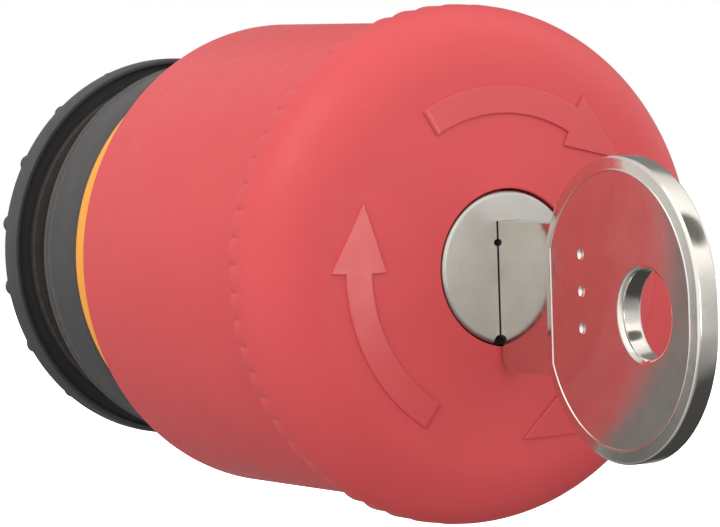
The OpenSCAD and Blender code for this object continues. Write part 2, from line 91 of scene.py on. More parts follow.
HEAD_R = outer_radius("mushroom_cap")
EDGE_ROUND = 5.5
CROWN_R = 80.0
FACE_EDGE_R = HEAD_R - EDGE_ROUND
PLUG_R = outer_radius("lock_plug")
PLUG_FRONT = front("lock_plug")
HOLE_R = PLUG_R + 0.05
CROWN_JOIN = math.asin(FACE_EDGE_R / (CROWN_R - EDGE_ROUND))
CROWN_DROP = CROWN_R - math.sqrt(CROWN_R**2 - HOLE_R**2)
CROWN_TOP = front("mushroom_cap") + CROWN_DROP
CROWN_CENTRE = CROWN_TOP - CROWN_R
RIM_H = CROWN_CENTRE + (CROWN_R - EDGE_ROUND) * math.cos(CROWN_JOIN)
RIM_WIDTH = 0.8
CAP_REAR_H = RIM_H - 1.5
SPIGOT_H = rear("mushroom_cap")
CAP_CEILING = RIM_H + EDGE_ROUND - 2.3
CAP_HOLLOW_R = 14.5
CAP_HOLLOW_ROUND = 3.6

SKIRT_R = outer_radius("skirt_sleeve")
SKIRT_IN_R = SKIRT_R - 1.95
SKIRT_REAR = rear("skirt_sleeve")
LEDGE_H = 32.0
LEDGE_T = 2.0
LEDGE_IN_R = 9.5

SCALLOPS = 60
SCALLOP_DEPTH = 0.26

ARROW_RISE = 0.15
ARROW_MID_R = 12.1
ARROW_TIP_R = 12.6
ARROW_HALF_W = 1.0
ARROW_HEAD_HALF_W = 2.1
ARROW_START = 119.0
ARROW_BODY = 60.0
ARROW_HEAD = 23.0

BEZEL_R = outer_radius("bezel_ring")
BEZEL_REAR_R = outer_radius("panel_seal")
BEZEL_H = front("bezel_ring")
SEAL_T = front("panel_seal")
COLLAR_R = outer_radius("yellow_collar")
COLLAR_H = front("yellow_collar")
COLLAR_IN_R = 13.8
FLANGE_R = 14.2
FLANGE_H = rear("yellow_collar") - 0.01

NECK_R = 11.0
NECK_REAR = rear("threaded_neck")
NECK_FRONT = front("threaded_neck")
THREAD_PITCH = 1.5
THREAD_DEPTH = 0.6
GROOVE_HALF_W = 1.1
GROOVE_DEPTH = 0.7

WASHER_R = outer_radius("thrust_washer")
WASHER_FRONT = front("thrust_washer")
WASHER_REAR = rear("thrust_washer")
NUT_R = 15.1
NUT_FRONT = front("ring_nut")
NUT_REAR = rear("ring_nut")
NUT_STEP = NUT_FRONT - 1.9
NUT_RECESS_R = NUT_R - 0.4
NUT_RECESS_H = WASHER_REAR - 0.05
NUT_HUB_R = 13.4
NUT_BORE_R = NECK_R + 0.08
NUT_BUMPS = 18
BUMP_CIRCLE_R = NUT_R - 0.65
BUMP_REAR = NUT_STEP - 0.9
BUMP_R = 0.75
BUMP_SINK = 0.2

KEY_HALF_T = 1.0
BLADE_HALF_T = 0.85
BOW_R = 10.0
BOW_HALF_STRETCH = 0.75
BOW_Y = -2.4
BOW_H = front("key") - BOW_R
BOW_FLAT_H = PLUG_FRONT + 6.05
KEY_HOLE_R = 3.1
KEY_HOLE_Y = -2.55
KEY_HOLE_H = PLUG_FRONT + 18.95
SLOT_HALF_W = BLADE_HALF_T + 0.08
WAFER_HEIGHTS = [26 + 3 * i for i in range(5)]


# ---------------------------------------------------------------- mesh helpers

def world(point):
    """A drawing point in mm as a row-frame point in metres."""
    x, y, z = point
    return Vector((x, -z, y)) * MM


def clamp(value):
    return max(0.0, min(1.0, value))


def smooth(value):
    """Smooth step from 0 to 1."""
    t = clamp(value)
    return t * t * (3 - 2 * t)


def mesh_piece(name, points, faces, sharp=30):
    """A shaded object from drawing points; edges that fold by more than sharp degrees stay crisp."""
    mesh = bpy.data.meshes.new(name)
    mesh.from_pydata([world(p) for p in points], [], faces)
    bm = bmesh.new()
    bm.from_mesh(mesh)
    bmesh.ops.remove_doubles(bm, verts=bm.verts, dist=1e-8)
    bmesh.ops.recalc_face_normals(bm, faces=bm.faces)
    bm.to_mesh(mesh)
    bm.free()
    piece = bpy.data.objects.new(name, mesh)
    bpy.context.scene.collection.objects.link(piece)
    shade(piece, sharp)
    return piece


def shade(piece, sharp=30):
    """Smooth shading, with edges that fold by more than sharp degrees kept crisp."""
    piece.data.shade_smooth()
    piece.data.set_sharp_from_angle(angle=math.radians(sharp))


def flatten(piece, axis):
    """Keeps the large faces square to one row axis perfectly flat in their shading."""
    for polygon in piece.data.polygons:
        if abs(polygon.normal[axis]) > 0.9995:
            polygon.use_smooth = False


def soften(piece, width, angle):
    """Rounds a piece's edges that fold by more than angle degrees, by width mm."""
    bevel = piece.modifiers.new("edges", "BEVEL")
    bevel.width = width * MM
    bevel.segments = 2
    bevel.limit_method = "ANGLE"
    bevel.angle_limit = math.radians(angle)
    normals = piece.modifiers.new("normals", "WEIGHTED_NORMAL")
    normals.keep_sharp = True
    settle(piece)


def settle(piece):
    """Makes what the modifiers give the piece's own mesh."""
    graph = bpy.context.evaluated_depsgraph_get()
    made = bpy.data.meshes.new_from_object(piece.evaluated_get(graph))
    piece.modifiers.clear()
    piece.data = made


def carve(piece, cutters, operation="DIFFERENCE", sharp=30):
    """Cuts the cutters from the piece, or joins them to it, one after another."""
    for cutter in cutters:
        step = piece.modifiers.new("cut", "BOOLEAN")
        step.operation = operation
        step.solver = "EXACT"
        step.object = cutter
        settle(piece)
        bpy.data.objects.remove(cutter)
    shade(piece, sharp)


def arc(centre, radius, start, end, steps):
    """Points of an arc in a plane, from one angle to another in degrees."""
    angles = [math.radians(start + (end - start) * i / steps) for i in range(steps + 1)]
    return [(centre[0] + radius * math.cos(a), centre[1] + radius * math.sin(a)) for a in angles]


def rounded(corners, steps=5, closed=True):
    """Outline through the corners (u, v, fillet radius), with each corner rounded by its fillet."""
    points = []
    count = len(corners)
    for i, (u, v, fillet) in enumerate(corners):
        if fillet <= 0 or (not closed and i in (0, count - 1)):
            points.append((u, v))
            continue
        corner = Vector((u, v))
        back = (Vector(corners[i - 1][:2]) - corner).normalized()
        ahead = (Vector(corners[(i + 1) % count][:2]) - corner).normalized()
        half = back.angle(ahead) / 2
        reach = fillet / math.tan(half)
        centre = corner + (back + ahead).normalized() * fillet / math.sin(half)
        first = corner + back * reach - centre
        last = corner + ahead * reach - centre
        turn = first.angle_signed(last)
        for k in range(steps + 1):
            t = -turn * k / steps
            swung = Vector((
                first.x * math.cos(t) - first.y * math.sin(t),
                first.x * math.sin(t) + first.y * math.cos(t),
            ))
            points.append(tuple(centre + swung))
    return points


def even_angles(count):
    return [360 * i / count for i in range(count)]


def turned(name, section, angles=None, shape=None, sharp=30):
    """A closed section (r, z) turned round the push axis; shape(angle, r, z) may move its points."""
    angles = angles or even_angles(TURN_STEPS)
    points = []
    for a in angles:
        c, s = math.cos(math.radians(a)), math.sin(math.radians(a))
        for r, z in section:
            if shape:
                r, z = shape(a, r, z)
            points.append((r * c, r * s, z))
    n, m = len(section), len(angles)
    faces = [
        (i * n + j, (i + 1) % m * n + j, (i + 1) % m * n + (j + 1) % n, i * n + (j + 1) % n)
        for i in range(m) for j in range(n)
    ]
    return mesh_piece(name, points, faces, sharp)


def block(low, high):
    """A cutter or part of one: a block given by its two corners."""
    points = [(x, y, z) for x in (low[0], high[0]) for y in (low[1], high[1]) for z in (low[2], high[2])]
    faces = [(0, 1, 3, 2), (4, 6, 7, 5), (0, 4, 5, 1), (2, 3, 7, 6), (0, 2, 6, 4), (1, 5, 7, 3)]
    return mesh_piece("block", points, faces)


def prism(name, outline, half_t, sharp=30):
    """An outline (y, z) given thickness across x."""
    n = len(outline)
    points = [(side * half_t, y, z) for side in (-1, 1) for y, z in outline]
    faces = [tuple(range(n)), tuple(range(2 * n - 1, n - 1, -1))]
    faces += [(i, (i + 1) % n, n + (i + 1) % n, n + i) for i in range(n)]
    return mesh_piece(name, points, faces, sharp)


def coil(name, path, wire_r, sides=12):
    """A wire along drawing points, with flat ends."""
    line = [Vector(p) for p in path]
    points, side = [], Vector((0, 0, 1))
    for i, here in enumerate(line):
        along = (line[min(i + 1, len(line) - 1)] - line[max(i - 1, 0)]).normalized()
        side = (side - along * side.dot(along)).normalized()
        across = along.cross(side)
        for k in range(sides):
            a = 2 * math.pi * k / sides
            points.append(tuple(here + side * wire_r * math.cos(a) + across * wire_r * math.sin(a)))
    faces = [
        (i * sides + k, i * sides + (k + 1) % sides, (i + 1) * sides + (k + 1) % sides, (i + 1) * sides + k)
        for i in range(len(line) - 1) for k in range(sides)
    ]
    last = (len(line) - 1) * sides
    faces += [tuple(range(sides)), tuple(range(last + sides - 1, last - 1, -1))]
    return mesh_piece(name, points, faces, 50)


# ---------------------------------------------------------------- materials

class Finish:
    """One procedural material. Lengths are in mm, and textures stick to the piece's own mesh."""

    def __init__(self, name, **sockets):
        self.material = bpy.data.materials.new(name)
        self.material.use_nodes = True
        self.tree = self.material.node_tree
        self.shader = self.tree.nodes["Principled BSDF"]
        self.place = self.node("ShaderNodeTexCoord").outputs["Object"]
        self.set(**sockets)

    def set(self, **sockets):
        """Sets the shader's sockets; an underscore stands for a space in a socket's name."""
        for socket, value in sockets.items():
            self.plug(self.shader, socket.replace("_", " "), value)

    def node(self, kind, inputs=None, **settings):
        made = self.tree.nodes.new(kind)
        for key, value in settings.items():
            setattr(made, key, value)
        for key, value in (inputs or {}).items():
            self.plug(made, key, value)
        return made

    def plug(self, node, key, value):
        """Links an output to an input, or sets the input's own value."""
        if isinstance(value, bpy.types.NodeSocket):
            self.tree.links.new(value, node.inputs[key])
        elif isinstance(value, (tuple, list)) and len(value) == 3 and node.inputs[key].type == "RGBA":
            node.inputs[key].default_value = (*value, 1)
        else:
            node.inputs[key].default_value = value

    def stretched(self, x, y, z):
        """Coordinates squeezed by a factor along each row axis, for a grain with a direction."""
        scaled = self.node("ShaderNodeMapping", {"Vector": self.place, "Scale": (x, y, z)})
        return scaled.outputs["Vector"]

    def noise(self, size, detail=2.0, rough=0.5, place=None):
        """Smooth noise whose blobs are about size mm across."""
        inputs = {
            "Vector": place or self.place, "Scale": 1 / (size * MM), "Detail": detail, "Roughness": rough
        }
        return self.node("ShaderNodeTexNoise", inputs).outputs["Fac"]

    def spread(self, value, low, high, from_low=0.3, from_high=0.7):
        """Maps the middle of a texture's range to low..high."""
        inputs = {"Value": value, "From Min": from_low, "From Max": from_high, "To Min": low, "To Max": high}
        return self.node("ShaderNodeMapRange", inputs).outputs["Result"]

    def mix(self, fac, first, second):
        """Colour between two colours."""
        made = self.node("ShaderNodeMix", data_type="RGBA")
        self.plug(made, 0, fac)
        for index, value in ((6, first), (7, second)):
            if isinstance(value, bpy.types.NodeSocket):
                self.tree.links.new(value, made.inputs[index])
            else:
                made.inputs[index].default_value = (*value, 1)
        return made.outputs[2]

    def maths(self, operation, first, second):
        made = self.node("ShaderNodeMath", operation=operation)
        self.plug(made, 0, first)
        self.plug(made, 1, second)
        return made.outputs[0]

    def bump(self, height, depth, normal=None):
        """A normal that rises by depth mm over a texture's height, on top of another normal if given."""
        inputs = {"Height": height, "Distance": depth * MM, "Strength": 1.0}
        if normal:
            inputs["Normal"] = normal
        return self.node("ShaderNodeBump", inputs).outputs["Normal"]

    def axis_distance(self):
        """Distance from the push axis, in metres."""
        flat = self.node("ShaderNodeVectorMath", operation="MULTIPLY")
        self.tree.links.new(self.place, flat.inputs[0])
        flat.inputs[1].default_value = (1, 0, 1)
        length = self.node("ShaderNodeVectorMath", operation="LENGTH")
        self.tree.links.new(flat.outputs[0], length.inputs[0])
        return length.outputs["Value"]


def moulded(name, colour, roughness, grain=0.22, depth=0.004, variation=0.06, specular=0.4):
    """Moulded plastic: a fine eroded grain and faint flow clouds."""
    f = Finish(name, IOR=1.5, Specular_IOR_Level=specular)
    clouds = f.noise(9.0, 4.0, 0.6)
    dark = tuple(c * (1 - variation) for c in colour)
    light = tuple(min(1.0, c * (1 + variation)) for c in colour)
    f.set(Base_Color=f.mix(f.spread(clouds, 0.0, 1.0), dark, light))
    f.set(Roughness=f.spread(f.noise(1.4, 3.0), roughness - 0.04, roughness + 0.05))
    coarse = f.bump(f.noise(grain * 5, 2.0), depth * 0.5)
    f.set(Normal=f.bump(f.noise(grain, 3.0, 0.6), depth, coarse))
    return f.material


def red_plastic():
    return moulded("red_plastic", (0.58, 0.066, 0.073), 0.42, variation=0.03, specular=0.28)


def arrow_plastic():
    """The arrows' polished faces."""
    return moulded(
        "arrow_plastic", (0.57, 0.06, 0.067), 0.22, grain=0.5, depth=0.001, variation=0.02, specular=0.55
    )


def rubber(name, dark, light):
    """Matt rubber with a little dust in its grain."""
    f = Finish(name, IOR=1.45)
    dust = f.noise(0.5, 5.0, 0.7)
    f.set(Base_Color=f.mix(f.spread(dust, 0.0, 1.0), dark, light))
    f.set(Roughness=f.spread(f.noise(2.0, 3.0), 0.7, 0.85))
    f.set(Normal=f.bump(f.noise(0.12, 3.0), 0.006))
    return f.material


def plated(name, colour, roughness, swing=0.05, wave=0.0, scratch=0.0012, metallic=1.0):
    """Plated metal: soft waves in the mirror, fine crossing scratches and faint stains."""
    f = Finish(name, Metallic=metallic)
    stain = f.noise(3.0, 5.0, 0.65)
    shade_of = tuple(c * 0.9 for c in colour)
    f.set(Base_Color=f.mix(f.spread(stain, 0.0, 1.0), shade_of, colour))
    across = f.noise(0.05, 2.0, 0.5, f.stretched(1.0, 1.0, 0.06))
    along = f.noise(0.05, 2.0, 0.5, f.stretched(1.0, 0.05, 1.0))
    lines = f.maths("MAXIMUM", f.spread(across, 0.0, 1.0, 0.62, 0.8), f.spread(along, 0.0, 1.0, 0.64, 0.8))
    haze = f.spread(f.noise(1.2, 4.0, 0.6), roughness - swing, roughness + swing)
    f.set(Roughness=f.maths("ADD", haze, f.maths("MULTIPLY", lines, swing)))
    waves = f.bump(f.noise(1.6, 1.0), wave) if wave else None
    f.set(Normal=f.bump(lines, scratch, waves))
    return f.material


def turned_nickel():
    """Satin nickel with the faint rings of a turned face."""
    f = Finish("lock_nickel", Metallic=1.0)
    stain = f.noise(2.2, 5.0, 0.65)
    f.set(Base_Color=f.mix(f.spread(stain, 0.0, 1.0), (0.51, 0.497, 0.465), (0.58, 0.567, 0.54)))
    radius = f.axis_distance()
    rings = f.node("ShaderNodeTexNoise", {"W": radius, "Scale": 1 / (0.07 * MM)}, noise_dimensions="1D")
    f.set(Roughness=f.spread(f.noise(0.9, 4.0, 0.6), 0.3, 0.42))
    grain = f.bump(f.noise(0.16, 3.0, 0.6), 0.0025)
    f.set(Normal=f.bump(rings.outputs["Fac"], 0.0008, grain))
    return f.material


def cast_metal():
    """Dull cast zinc with cloudy stains."""
    f = Finish("cast_zinc", Metallic=1.0)
    stain = f.spread(f.noise(1.5, 5.0, 0.7), 0.0, 1.0)
    f.set(Base_Color=f.mix(stain, (0.38, 0.38, 0.39), (0.56, 0.56, 0.57)))
    f.set(Roughness=f.spread(f.noise(0.8, 4.0), 0.45, 0.62))
    f.set(Normal=f.bump(f.noise(0.2, 4.0, 0.7), 0.01))
    return f.material


def drawn_wire():
    """Bright steel wire with a grain along it."""
    f = Finish("spring_steel", Metallic=1.0)
    stain = f.spread(f.noise(0.9, 5.0), 0.0, 1.0)
    f.set(Base_Color=f.mix(stain, (0.32, 0.31, 0.3), (0.5, 0.5, 0.51)))
    f.set(Roughness=f.spread(f.noise(0.5, 3.0), 0.24, 0.4))
    f.set(Normal=f.bump(f.noise(0.08, 2.0, 0.5, f.stretched(1.0, 0.2, 1.0)), 0.002))
    return f.material


MATERIALS = {
    "red_plastic": red_plastic(),
    "arrow_plastic": arrow_plastic(),
    "yellow_plastic": moulded("yellow_plastic", (0.82, 0.34, 0.03), 0.38),
    "black_plastic": moulded(
        "black_plastic", (0.048, 0.047, 0.048), 0.5, grain=0.18, depth=0.008, variation=0.12
    ),
    "carrier_plastic": moulded("carrier_plastic", (0.09, 0.09, 0.095), 0.5, grain=0.25, depth=0.005),
    "white_plastic": moulded("white_plastic", (0.78, 0.77, 0.73), 0.42),
    "latch_plastic": moulded("latch_plastic", (0.07, 0.2, 0.4), 0.42),
    "black_rubber": rubber("black_rubber", (0.034, 0.029, 0.026), (0.056, 0.049, 0.044)),
    "seal_rubber": rubber("seal_rubber", (0.056, 0.053, 0.054), (0.08, 0.077, 0.078)),
    "lock_nickel": turned_nickel(),
    "key_nickel": plated("key_nickel", (0.78, 0.75, 0.7), 0.12, swing=0.04, wave=0.004, metallic=0.98),
    "cast_zinc": cast_metal(),
    "brass": plated("brass", (0.8, 0.58, 0.26), 0.28),
    "steel": plated("steel", (0.62, 0.62, 0.62), 0.24),
    "spring_steel": drawn_wire(),
}


def fit(piece, body, finish, stands_for=()):
    """Gives a new piece its material and body, and hides the CAD nodes that it stands for."""
    piece.data.materials.clear()
    piece.data.materials.append(MATERIALS[finish])
    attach(piece, body)
    if stands_for:
        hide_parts(*stands_for)
    return piece


# ---------------------------------------------------------------- camera

LENS_MM = 250
SENSOR_MM = 36
EYE = Vector((-189.93, -349.67, 21.33)) * MM
AIM = Vector((0.0, -23.69, -0.43)) * MM
ROLL_DEG = 1.79


def make_camera():
    """A long lens from the front left, a little above the axis, with a slight roll."""
    data = bpy.data.cameras.new("camera")
    data.lens = LENS_MM
    data.sensor_width = SENSOR_MM
    data.clip_start = 0.01
    data.clip_end = 20
    camera = bpy.data.objects.new("camera", data)
    bpy.context.scene.collection.objects.link(camera)
    towards = (AIM - EYE).to_track_quat("-Z", "Y").to_matrix()
    turn = towards @ Matrix.Rotation(math.radians(-ROLL_DEG), 3, "Z")
    camera.matrix_world = Matrix.Translation(EYE) @ turn.to_4x4()
    bpy.context.scene.camera = camera


# ---------------------------------------------------------------- studio

FLOOR_H = -0.5
FLOOR_R = 8.0
# A pale card in front that only reflections see, as the glossy arrows do
SOFT_CARD = (0.2, -0.98, 0.02)
# Dark flags that only reflections see: direction, cosines where each starts and ends, and its level
DARK_FLAGS = [
    ((-0.63, 0.77, -0.16), 0.955, 0.985, 0.28),
    ((0.5, 0.1, -0.86), 0.6, 0.8, 0.24),
    ((0.545, 0.66, 0.45), 0.9, 0.97, 0.35),
    ((0.545, -0.835, 0.0), 0.9, 0.985, 0.72),
    ((0.5, -0.47, 0.72), 0.965, 0.988, 0.1),
]


def make_world():
    """White to the camera. What it lights gets a sky that is dimmer at the rear, with soft boxes in front
    and above, at the left and at the right. Reflections miss the right box, and get the card, a darker
    underside and the dark flags.
    """
    scene = bpy.context.scene
    scene.view_settings.view_transform = "Standard"
    world_data = bpy.data.worlds.new("studio")
    scene.world = world_data
    world_data.use_nodes = True
    tree = world_data.node_tree
    tree.nodes.clear()
    add, link = tree.nodes.new, tree.links.new
    direction = add("ShaderNodeTexCoord").outputs["Generated"]

    def lobe(towards, start, end, low, high):
        """A level that rises smoothly with the cosine of the angle to a direction."""
        dot = add("ShaderNodeVectorMath")
        dot.operation = "DOT_PRODUCT"
        link(direction, dot.inputs[0])
        dot.inputs[1].default_value = Vector(towards).normalized()
        ramp = add("ShaderNodeMapRange")
        ramp.interpolation_type = "SMOOTHSTEP"
        link(dot.outputs["Value"], ramp.inputs["Value"])
        for key, value in (("From Min", start), ("From Max", end), ("To Min", low), ("To Max", high)):
            ramp.inputs[key].default_value = value
        return ramp.outputs["Result"]

    def combine(operation, first, second):
        node = add("ShaderNodeMath")
        node.operation = operation
        link(first, node.inputs[0])
        link(second, node.inputs[1])
        return node.outputs[0]

    sky = lobe((0, 0, 1), -0.9, 0.9, 0.53, 0.92)
    box = lobe((0.2, -0.66, 0.72), 0.3, 0.95, 0.0, 0.5)
    side = lobe((-0.98, -0.05, -0.15), 0.2, 1.0, 0.0, 0.55)
    fill = lobe((0.72, -0.5, 0.48), 0.3, 1.0, 0.0, 0.25)
    behind = lobe((0, 1, 0), 0.0, 0.8, 1.0, 0.8)
    base = combine("ADD", combine("MULTIPLY", sky, behind), combine("ADD", box, side))
    level = combine("ADD", base, fill)
    mirrored = combine("ADD", base, lobe(SOFT_CARD, 0.968, 0.995, 0.0, 2.8))
    mirrored = combine("MULTIPLY", mirrored, lobe((0, 0, -1), 0.0, 0.6, 1.0, 0.45))
    for towards, start, end, low in DARK_FLAGS:
        mirrored = combine("MULTIPLY", mirrored, lobe(towards, start, end, 1.0, low))
    rays = add("ShaderNodeLightPath")
    strength = add("ShaderNodeMix")
    link(rays.outputs["Is Glossy Ray"], strength.inputs["Factor"])
    link(level, strength.inputs["A"])
    link(mirrored, strength.inputs["B"])
    lights = add("ShaderNodeBackground")
    lights.inputs["Color"].default_value = (1, 0.985, 0.96, 1)
    link(strength.outputs["Result"], lights.inputs["Strength"])
    seen = add("ShaderNodeBackground")
    seen.inputs["Color"].default_value = (1, 1, 1, 1)
    choice = add("ShaderNodeMixShader")
    link(rays.outputs["Is Camera Ray"], choice.inputs["Fac"])
    link(lights.outputs[0], choice.inputs[1])
    link(seen.outputs[0], choice.inputs[2])
    link(choice.outputs[0], add("ShaderNodeOutputWorld").inputs["Surface"])


def make_light(name, place, size, watts, colour):
    """A square soft box aimed at the head, which no camera sees."""
    data = bpy.data.lights.new(name, "AREA")
    data.size = size
    data.energy = watts
    data.color = colour
    light = bpy.data.objects.new(name, data)
    bpy.context.scene.collection.objects.link(light)
    light.location = place
    light.rotation_mode = "QUATERNION"
    light.rotation_quaternion = (AIM - Vector(place)).to_track_quat("-Z", "Y")
    light.visible_camera = False


def make_floor():
    """A plain white floor well below the object, which throws no light back at it."""
    centre = (0, 0, FLOOR_H)
    bpy.ops.mesh.primitive_circle_add(vertices=96, radius=FLOOR_R, fill_type="NGON", location=centre)
    floor = bpy.context.object
    floor.name = "floor"
    f = Finish("floor_white", Roughness=0.9)
    f.set(Base_Color=(0.9, 0.9, 0.9), Emission_Color=(1, 1, 1), Emission_Strength=1.0)
    floor.data.materials.append(f.material)
    floor.visible_diffuse = False
    floor.visible_glossy = False
    floor.visible_shadow = False


# ---------------------------------------------------------------- moving head

def crown_height(r):
    """Height of the head's domed face at radius r."""
    return CROWN_CENTRE + math.sqrt(CROWN_R**2 - r**2)


def scallop(angle, r, z):
    """Cuts the row of small notches behind the rim, between convex lobes."""
    if r < SKIRT_R - 0.3 or z < CAP_REAR_H - 0.1:
        return r, z
    notch = 1 - math.sqrt(abs(math.cos(math.radians(angle * SCALLOPS / 2))))
    fade = smooth((RIM_H + 0.9 - z) / 1.5)
    return r - SCALLOP_DEPTH * notch * fade, z


def mushroom_head():
    """Domed face, round edge, scalloped slope behind the rim, and the hollow that the carrier enters."""
    hole_edge, boss_in, boss_length = 0.08, 7.6, 3.6
    join = math.degrees(CROWN_JOIN)
    hole = math.degrees(math.asin((HOLE_R + hole_edge) / CROWN_R))
    crown = arc((0, CROWN_CENTRE), CROWN_R, 90 - hole, 90 - join, 14)
    edge = arc((FACE_EDGE_R, RIM_H), EDGE_ROUND, 90 - join, 0, 26)[1:-1]
    hollow_centre = (CAP_HOLLOW_R - CAP_HOLLOW_ROUND, CAP_CEILING - CAP_HOLLOW_ROUND)
    hollow = arc(hollow_centre, CAP_HOLLOW_ROUND, 0, 90, 10)
    flank = rounded([
        (HEAD_R, RIM_H + 0.4, 0), (HEAD_R, RIM_H - RIM_WIDTH, 0.12), (SKIRT_R + 0.05, CAP_REAR_H, 0.1),
        (SKIRT_IN_R - 0.1, CAP_REAR_H, 0),
    ], 4, closed=False)[1:]
    section = crown + edge + flank
    section += [(SKIRT_IN_R - 0.1, SPIGOT_H), (CAP_HOLLOW_R, SPIGOT_H)] + hollow
    boss_end = CAP_CEILING - boss_length
    section += [(LEDGE_IN_R, CAP_CEILING), (LEDGE_IN_R, boss_end), (boss_in, boss_end)]
    section += [(boss_in, CAP_CEILING), (HOLE_R, CAP_CEILING), (HOLE_R, crown_height(HOLE_R) - hole_edge)]
    piece = turned("mushroom_head", section, even_angles(SCALLOPS * 12), scallop)
    fit(piece, "head", "red_plastic", stands_for=["mushroom_cap"])


def arrow_rows():
    """Cross-sections of an arrow from its tail to its tip: inner point, outer point and height of the top."""
    def polar(radius, angle):
        return Vector((radius * math.cos(math.radians(angle)), radius * math.sin(math.radians(angle))))

    steps, head_steps = 36, 16
    neck = ARROW_START - ARROW_BODY
    end_round, tip_half_w = 0.3, 0.04
    inner_r, outer_r = ARROW_MID_R - ARROW_HALF_W, ARROW_MID_R + ARROW_HALF_W
    rows = [(polar(inner_r, ARROW_START), polar(outer_r, ARROW_START), ARROW_RISE * 0.4)]
    for i in range(steps + 1):
        angle = ARROW_START - end_round - (ARROW_BODY - end_round) * i / steps
        rows.append((polar(inner_r, angle), polar(outer_r, angle), ARROW_RISE))
    base = neck - 0.25
    low = polar(ARROW_MID_R - ARROW_HEAD_HALF_W, base)
    high = polar(ARROW_MID_R + ARROW_HEAD_HALF_W, base)
    tip = neck - ARROW_HEAD
    low_tip, high_tip = polar(ARROW_TIP_R - tip_half_w, tip), polar(ARROW_TIP_R + tip_half_w, tip)
    for i in range(head_steps + 1):
        t = i / head_steps
        rows.append((low.lerp(low_tip, t), high.lerp(high_tip, t), ARROW_RISE))
    return rows


def turning_arrow(name, turn):
    """One raised arrow with rounded edges: a band along a circle, then a head with straight sides."""
    foot, edge = -0.12, 0.05
    swing = Matrix.Rotation(math.radians(turn), 2)
    rows = arrow_rows()
    points = []
    for inner, outer, top in rows:
        width = (outer - inner).length
        fillet = min(edge, width / 6)
        side = [(0, foot), (0, top - fillet), (0.3 * fillet, top - 0.3 * fillet)]
        side += [(fillet, top), (2 * fillet, top)]
        section = side + [(width / 2, top)] + [(width - u, h) for u, h in reversed(side)]
        for u, rise in section:
            here = swing @ inner.lerp(outer, u / width)
            points.append((here.x, here.y, crown_height(here.length) + rise))
    wide, count = len(section), len(rows)
    faces = [
        (i * wide + k, i * wide + k + 1, (i + 1) * wide + k + 1, (i + 1) * wide + k)
        for i in range(count - 1) for k in range(wide - 1)
    ]
    faces += [(i * wide, (i + 1) * wide, (i + 2) * wide - 1, (i + 1) * wide - 1) for i in range(count - 1)]
    faces += [tuple(range(wide)), tuple(range(count * wide - 1, (count - 1) * wide - 1, -1))]
    fit(mesh_piece(name, points, faces, 60), "head", "arrow_plastic")


def skirt():
    """Skirt sleeve with the ledge inside that its screws hold."""
    lip = 0.2
    section = rounded([
        (SKIRT_R, CAP_REAR_H, 0.05), (SKIRT_R, SKIRT_REAR, lip), (SKIRT_IN_R, SKIRT_REAR, 0.2),
        (SKIRT_IN_R, LEDGE_H, 0.3), (LEDGE_IN_R, LEDGE_H, 0.1), (LEDGE_IN_R, LEDGE_H + LEDGE_T, 0.1),
        (SKIRT_IN_R, LEDGE_H + LEDGE_T, 0), (SKIRT_IN_R, CAP_REAR_H, 0),
    ], 6)
    fit(turned("skirt", section), "head", "red_plastic", stands_for=["skirt_sleeve"])


def plunger():
    """Contact plunger: a wide face on a peg."""
    disc_t, peg_r = 2.45, 2.0
    face_r = outer_radius("contact_plunger")
    end = rear("contact_plunger")
    peg_top = front("contact_plunger")
    section = rounded([
        (0, end, 0), (face_r, end, 0.35), (face_r, end + disc_t, 0.25), (peg_r, end + disc_t, 0.1),
        (peg_r, peg_top, 0.3), (0, peg_top, 0),
    ], 5)
    fit(turned("plunger", section, even_angles(96)), "head", "white_plastic", stands_for=["contact_plunger"])


# ---------------------------------------------------------------- fixed housing

def bezel():
    """Bezel ring, which widens towards its front."""
    section = rounded([
        (FLANGE_R + 0.05, SEAL_T, 0), (BEZEL_REAR_R, SEAL_T, 0.12), (BEZEL_R, BEZEL_H, 0.35),
        (COLLAR_IN_R + 0.1, BEZEL_H, 0.1), (COLLAR_IN_R + 0.1, FLANGE_H + 0.02, 0),
        (FLANGE_R + 0.05, FLANGE_H + 0.02, 0),
    ], 5)
    fit(turned("bezel", section), "housing", "black_plastic", stands_for=["bezel_ring"])


def collar():
    """Yellow collar with the foot that the bezel holds."""
    foot_r = 13.0
    section = rounded([
        (COLLAR_R, BEZEL_H + 0.01, 0.05), (COLLAR_R, COLLAR_H, 0.4), (COLLAR_IN_R, COLLAR_H, 0.2),
        (COLLAR_IN_R, BEZEL_H + 0.5, 0.1), (foot_r, BEZEL_H + 0.5, 0.05), (foot_r, FLANGE_H + 0.01, 0.05),
        (COLLAR_IN_R + 0.05, FLANGE_H + 0.01, 0.05), (COLLAR_IN_R + 0.05, BEZEL_H + 0.01, 0),
    ], 5)
    fit(turned("collar", section), "housing", "yellow_plastic", stands_for=["yellow_collar"])


def seal():
    """Flat rubber ring with two lips towards the panel and a groove round its edge."""
    inner = NECK_R + 0.35
    lip = 0.25
    section = rounded([
        (inner, SEAL_T, 0.1), (inner, 0, 0.2), (inner + 0.7, 0, 0.2), (inner + 0.95, lip, 0.1),
        (BEZEL_REAR_R - 0.95, lip, 0.1), (BEZEL_REAR_R - 0.7, 0, 0.2), (BEZEL_REAR_R, 0, 0.25),
        (BEZEL_REAR_R, 0.55, 0.1), (BEZEL_REAR_R - 0.2, 0.7, 0.1), (BEZEL_REAR_R, 0.85, 0.1),
        (BEZEL_REAR_R, SEAL_T, 0.15),
    ], 4)
    fit(turned("seal", section), "housing", "seal_rubber", ["panel_seal"])


